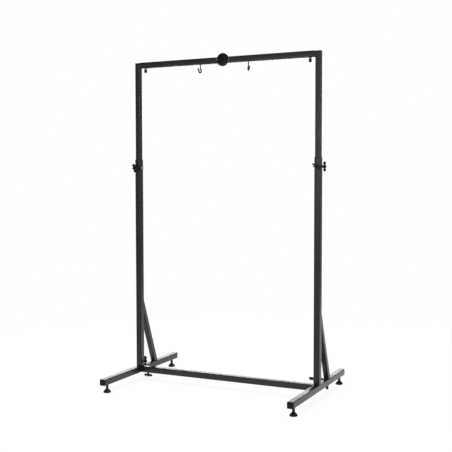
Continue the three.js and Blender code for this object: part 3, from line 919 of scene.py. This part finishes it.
def stud_mesh(name):
    shank = thread(SHANK, STUD_SEAT + SEAT, FOOT_UNDER + STUD_RISE)
    return finished_mesh(name, shank, ZINC, sharp=THREAD_SHARP)


# Foot end caps: a rounded flange, a little crowned, on a hollow plug
def cap_mesh(name):
    edge, rim = CAP_BACK_EDGE, CAP_FLANGE - CAP_CROWN
    rings = [square(OUTER - 2 * edge, CORNER - edge, 0), square(OUTER, CORNER, edge)]
    for a in np.linspace(0, math.pi / 2, 6):
        inset = CAP_ROUND * (1 - math.cos(a))
        height = rim - CAP_ROUND * (1 - math.sin(a))
        rings.append(square(OUTER - 2 * inset, CORNER - 0.7 * inset, height))
    for share in (0.85, 0.7, 0.5, 0.3, 0.12):
        size = (OUTER - 2 * CAP_ROUND) * share
        corner = min(CAP_CREASE + (1 - share) * 3, size / 2 - 0.01)
        rings.append(square(size, corner, rim + CAP_CROWN * (1 - share**2)))
    plug = [
        square(PLUG, 1.0, PLUG_SUNK),
        square(PLUG_HOLLOW, 0.5, PLUG_SUNK),
        square(PLUG_HOLLOW, 0.5, -PLUG_LENGTH),
        square(PLUG_TIP, 1.0, -PLUG_LENGTH),
    ]
    shape = join(loft(rings), turned_out(loft(plug, closed=True)))
    return finished_mesh(name, shape, PLASTIC)


# Hooks and their inserts
def curve_through(points, per=14):
    """A smooth line through points."""
    before, after = 2 * points[0] - points[1], 2 * points[-1] - points[-2]
    p = np.array([before, *points, after])
    made = []
    for k in range(1, len(p) - 2):
        first, second = p[k + 1] - p[k - 1], 2 * p[k - 1] - 5 * p[k] + 4 * p[k + 1] - p[k + 2]
        third = 3 * p[k] - p[k - 1] - 3 * p[k + 1] + p[k + 2]
        for t in np.arange(per) / per:
            made.append(0.5 * (2 * p[k] + first * t + second * t**2 + third * t**3))
    made.append(p[-2])
    return np.array(made)


def hook_mesh(name):
    centre, tip, side = np.array(HOOK_CENTRE), np.array(HOOK_TIP), np.array(BACK, float)
    round_wire, end_bulge = round_angles(20), 0.45
    c, s = np.cos(round_wire)[:, None], np.sin(round_wire)[:, None]

    def curl_point(degrees):
        a = math.radians(degrees)
        return centre + HOOK_CURL * np.array((math.cos(a), 0.0, math.sin(a)))

    def ring(place, radius, out):
        return place + radius * (c * side + s * out)

    heights = (HOOK_RISE, 3, -HOOK_RISE, centre[2] + 1.9 * HOOK_CURL)
    points = [np.array((0.0, 0.0, z)) for z in heights]
    points += [curl_point(d) for d in range(30, -151, -30)]
    points += [(curl_point(-165) + tip) / 2, tip]
    line = curve_through(points)
    ahead = np.gradient(line, axis=0)
    ahead /= np.linalg.norm(ahead, axis=1)[:, None]
    other = np.cross(ahead, side)
    thick = np.interp(-line[:, 2], HOOK_THICKENS, (HOOK_SHANK, HOOK_WIRE))
    thick[len(line) // 2 :] = HOOK_WIRE
    rings = [ring(*each) for each in zip(line, thick, other)]
    for b in np.arange(1, 6) * math.pi / 2 / 6:
        end = line[-1] + ahead[-1] * HOOK_WIRE * end_bulge * math.sin(b)
        rings.append(ring(end, HOOK_WIRE * math.cos(b), other[-1]))
    return finished_mesh(name, turned_out(loft(rings)), OXIDE)


def insert_mesh(name):
    profile = [
        (INSERT_BORE, INSERT_FACE),
        (INSERT_BULGE, INSERT_FACE),
        (INSERT_BULGE, INSERT_FACE + 1),
        (INSERT_BARREL, INSERT_FACE + 1),
        (INSERT_BARREL, 1.5),
        (INSERT_BULGE, 2.5),
        (INSERT_BARREL, 3.5),
        (INSERT_BARREL, INSERT_LENGTH),
        (INSERT_BORE, INSERT_LENGTH),
    ]
    soft = softened(profile, {0: 0.3, 1: 0.35, 2: 0.2}, steps=3)
    return finished_mesh(name, lathe(soft, steps=40, closed=True), OXIDE)


# Badge: a bare disc in its rim
def badge_mesh(name):
    edge = BADGE_RADIUS - RIM_WIDTH - SEAT
    profile = [(0, 0), (edge, 0), (edge, BADGE_EDGE - 0.1)]
    for share in (0.985, 0.9, 0.75, 0.55, 0.3):
        profile.append((edge * share, BADGE_EDGE + BADGE_CROWN * (1 - share**2)))
    profile.append((0, BADGE_DEPTH))
    pin = [(0, -PIN_LENGTH), (PIN_RADIUS, -PIN_LENGTH), (PIN_RADIUS, SUNK), (0, SUNK)]
    pins = [moved(lathe(pin, steps=20), at(*place)) for place in both(PIN_X, 0, 0)]
    return finished_mesh(name, join(lathe(profile, steps=96), *pins), LACQUER)


def rim_mesh(name):
    inner = BADGE_RADIUS - RIM_WIDTH
    profile = [(inner, 0), (BADGE_RADIUS, 0), (BADGE_RADIUS, RIM_DEPTH), (inner, RIM_DEPTH)]
    ring = lathe(softened(profile, {2: 0.85, 3: 0.6}, steps=5), steps=96, closed=True)
    return finished_mesh(name, ring, GOLD)


# Put the pieces in place
brace_shape = brace_mesh("brace_tube")
bolt_shape = brace_bolt_mesh("button_screw")
cap_shape, pad_shape, stud_shape = cap_mesh("end_cap"), pad_mesh("pad"), stud_mesh("stud")
hook_shape, insert_shape = hook_mesh("hook_wire"), insert_mesh("insert")
for side, sign in SIDES.items():
    x, half = sign * POST_X, OUTER / 2
    foot, sleeve = foot_mesh("foot_tube", sign), lower_post_mesh("sleeve", sign)
    post, post_place = upper_post_mesh("sliding_post", sign), at(x, POST_Y, 0)
    bolt_place = aimed((x, POST_Y - half - SEAT, BRACE_TOP), FRONT)
    piece(f"foot_tube_{side}", foot, f"foot_{side}", at(x, 0, 0))
    piece(f"sleeve_{side}", sleeve, f"lower_post_{side}", post_place)
    piece(f"sliding_post_{side}", post, f"upper_post_{side}", post_place)
    piece(f"brace_tube_{side}", brace_shape, f"brace_{side}", post_place)
    piece(f"button_screw_{side}", bolt_shape, f"brace_bolt_{side}", bolt_place)
    for end, way in ENDS.items():
        label = f"{end}_{side}"
        cap_place = aimed((x, way * (FOOT_LENGTH / 2 - CAP_FLANGE), FOOT_AXIS), (0, way, 0))
        pad_place = at(x, way * PAD_Y, 0)
        piece(f"end_cap_{label}", cap_shape, f"foot_cap_{label}", cap_place)
        piece(f"pad_{label}", pad_shape, f"levelling_pad_{label}", pad_place)
        piece(f"stud_{label}", stud_shape, f"levelling_stud_{label}", pad_place)
    out, into = (sign, 0, 0), (-sign, 0, 0)
    hand_screw("lock", side, (x + sign * half, POST_Y, LOCK_HEIGHT), out, "lock")
    hand_screw("front", side, (x, POST_Y - half, LOCK_HEIGHT), FRONT)
    hand_screw("inner", side, (x - sign * half, POST_Y, POST_CLAMP), into)
    hand_screw("rear", side, (x, POST_Y + half, POST_CLAMP), BACK)
    hand_screw("base", side, (sign * BASE_CLAMP_X, POST_Y, FOOT_UNDER), DOWN)
    hand_screw("brace", side, (x, BRACE_SCREW_Y, FOOT_UNDER), DOWN, "brace")
    hand_screw("top", side, (sign * TOP_CLAMP_X, POST_Y, TOP_BAR_UNDER), DOWN, "top")
    insert_place = at(sign * HOOK_X, POST_Y, TOP_BAR_UNDER)
    turn = Matrix.Rotation(math.radians(HOOK_TURN[side] - 180), 4, "Z")
    hook_place = insert_place @ turn @ at(0, 0, -HOOK_DROP[side])
    piece(f"hook_wire_{side}", hook_shape, f"hook_{side}", hook_place)
    piece(f"insert_{side}", insert_shape, f"hook_insert_{side}", insert_place)
piece("lower_crossbar", bottom_bar_mesh("lower_crossbar"), "bottom_bar")
piece("upper_crossbar", top_bar_mesh("upper_crossbar"), "top_bar")
badge_place = aimed((0, POST_Y - TOP_BAR / 2 - SEAT, TOP_BAR_AXIS), FRONT)
piece("badge_face", badge_mesh("badge_face"), "badge_disc", badge_place)
piece("badge_ring", rim_mesh("badge_ring"), "badge_rim", badge_place)


# The studio: a pale floor, a room to mirror and three soft lamps
FLOOR_REACH, FLOOR_GREY, WHITE = 7, (0.86, 0.86, 0.86, 1), (1, 1, 1, 1)
BACK_WALL, FRONT_WALL, WARM = (0.42, 0.91, 0), (-0.42, -0.91, 0), (1, 0.975, 0.93, 1)
WINDOW, UNDER_TOP_BAR = (-0.14, -0.99, 0.0), (-0.44, 0.87, -0.2)


class Studio:
    """Nodes of the floor and of the surround."""

    def __init__(self, tree):
        tree.nodes.clear()
        self.tree = tree
        path = self.new("ShaderNodeLightPath").outputs
        self.glossy = path["Is Glossy Ray"]
        self.camera = path["Is Camera Ray"]
        self.through = path["Is Transmission Ray"]

    def new(self, kind, *inputs, **settings):
        made = self.tree.nodes.new(kind)
        for key, value in settings.items():
            setattr(made, key, value)
        for k, value in enumerate(inputs):
            if isinstance(value, bpy.types.NodeSocket):
                self.tree.links.new(value, made.inputs[k])
            elif value is not None:
                made.inputs[k].default_value = value
        return made

    def math(self, operation, *values):
        return self.new("ShaderNodeMath", *values, operation=operation).outputs[0]

    def facing(self, way, direction):
        """1 where a ray goes in a direction, falling to the sides."""
        made = self.new("ShaderNodeVectorMath", way, direction, operation="DOT_PRODUCT")
        return made.outputs["Value"]

    def ranged(self, value, start, end, low, high):
        ends = (start, end, low, high)
        made = self.new("ShaderNodeMapRange", value, *ends, interpolation_type="SMOOTHSTEP")
        return made.outputs[0]

    def blended(self, share, first, second):
        return self.new("ShaderNodeMix", share, None, first, second).outputs[0]


def make_floor():
    """Pale, and white to the eye far from the stand; the pieces mirror it darker in front."""
    mesh = bpy.data.meshes.new("floor")
    corners = ((-1, -1), (1, -1), (1, 1), (-1, 1))
    corners = [(x * FLOOR_REACH, y * FLOOR_REACH, 0) for x, y in corners]
    mesh.from_pydata(corners, [], [(0, 1, 2, 3)])
    floor = bpy.data.objects.new("floor", mesh)
    scene.collection.objects.link(floor)
    material = bpy.data.materials.new("floor")
    material.use_nodes = True
    s = Studio(material.node_tree)
    place = s.new("ShaderNodeTexCoord").outputs["Object"]
    away = s.new("ShaderNodeVectorMath", place, operation="LENGTH").outputs["Value"]
    eye_share = s.ranged(away, start=1.2, end=3.0, low=0.85, high=1.0)
    depth = s.new("ShaderNodeSeparateXYZ", place).outputs["Y"]
    near = s.ranged(depth, start=-1.6, end=0.6, low=0.45, high=1.1)
    far = s.ranged(depth, start=2.0, end=4.2, low=1.1, high=0.3)
    gloss = s.math("MINIMUM", near, far)
    seen = s.math("MAXIMUM", s.glossy, s.camera)
    share = s.math("MULTIPLY", seen, s.blended(s.glossy, eye_share, 1.0))
    matt = s.new("ShaderNodeBsdfDiffuse", FLOOR_GREY)
    glow = s.new("ShaderNodeEmission", WHITE, s.blended(s.glossy, 1.0, gloss))
    mix = s.new("ShaderNodeMixShader", share, matt.outputs[0], glow.outputs[0])
    s.new("ShaderNodeOutputMaterial", mix.outputs[0])
    mesh.materials.append(material)


def make_world():
    """White to the eye; what the pieces mirror is a room.

    It has a warm wall behind, a dimmer one in front with a low window, a pale ceiling
    and a dark patch for the top bar's underside.
    """
    world = bpy.data.worlds.new("studio")
    scene.world = world
    world.use_nodes = True
    s = Studio(world.node_tree)
    darkest, diffuse = 0.03, 0.75
    way = s.new("ShaderNodeTexCoord").outputs["Generated"]
    height = s.new("ShaderNodeSeparateXYZ", way).outputs["Z"]
    behind = s.ranged(s.facing(way, BACK_WALL), start=0.35, end=0.9, low=0, high=0.38)
    before = s.ranged(s.facing(way, FRONT_WALL), start=0.85, end=0.98, low=0, high=0.21)
    room = s.math("ADD", s.math("ADD", darkest, behind), before)
    walls_end = s.ranged(height, start=0.12, end=0.32, low=1.0, high=0.15)
    room = s.math("MULTIPLY", room, walls_end)
    window = s.ranged(s.facing(way, WINDOW), start=0.915, end=0.992, low=0.0, high=2.6)
    sill = s.ranged(height, start=-0.08, end=0.03, low=0.0, high=1.0)
    lintel = s.ranged(height, start=0.03, end=0.15, low=1.0, high=0.08)
    window = s.math("MULTIPLY", s.math("MULTIPLY", window, sill), lintel)
    ceiling = s.ranged(height, start=0.4, end=0.75, low=0.0, high=0.45)
    room = s.math("ADD", s.math("ADD", room, window), ceiling)
    dark = s.ranged(s.facing(way, UNDER_TOP_BAR), start=0.86, end=0.96, low=1.0, high=0.1)
    room = s.math("MULTIPLY", room, dark)
    seen = s.math("MAXIMUM", s.camera, s.through)
    strength = s.blended(seen, s.blended(s.glossy, diffuse, room), 1.0)
    warmth = s.ranged(s.facing(way, BACK_WALL), start=0.5, end=0.9, low=0, high=1)
    tint = s.new("ShaderNodeMix", s.math("MULTIPLY", warmth, s.glossy), data_type="RGBA")
    tint.inputs[6].default_value, tint.inputs[7].default_value = WHITE, WARM
    light = s.new("ShaderNodeBackground", tint.outputs[2], strength)
    s.new("ShaderNodeOutputWorld", light.outputs[0])


def make_lamp(name, place, target, size, watts):
    data = bpy.data.lights.new(name, "AREA")
    data.shape, data.size, data.size_y, data.energy = "RECTANGLE", *size, watts
    lamp = bpy.data.objects.new(name, data)
    scene.collection.objects.link(lamp)
    lamp.location = place
    aim = Vector(target) - Vector(place)
    lamp.rotation_euler = aim.to_track_quat("-Z", "Y").to_matrix().to_euler()
    lamp.visible_camera = False


make_floor()
make_world()
make_lamp("back_softbox", (-3.4, 6.0, 1.85), target=(0, 0, 0.1), size=(4.8, 1.1), watts=80)
make_lamp("right_softbox", (3.1, -3.3, 2.15), target=(0, 0, 1.6), size=(1.4, 1.0), watts=65)
make_lamp("overhead_softbox", (0.2, -0.4, 4.6), target=(0, 0, 0), size=(4, 4), watts=150)

scene.view_settings.view_transform = "Standard"
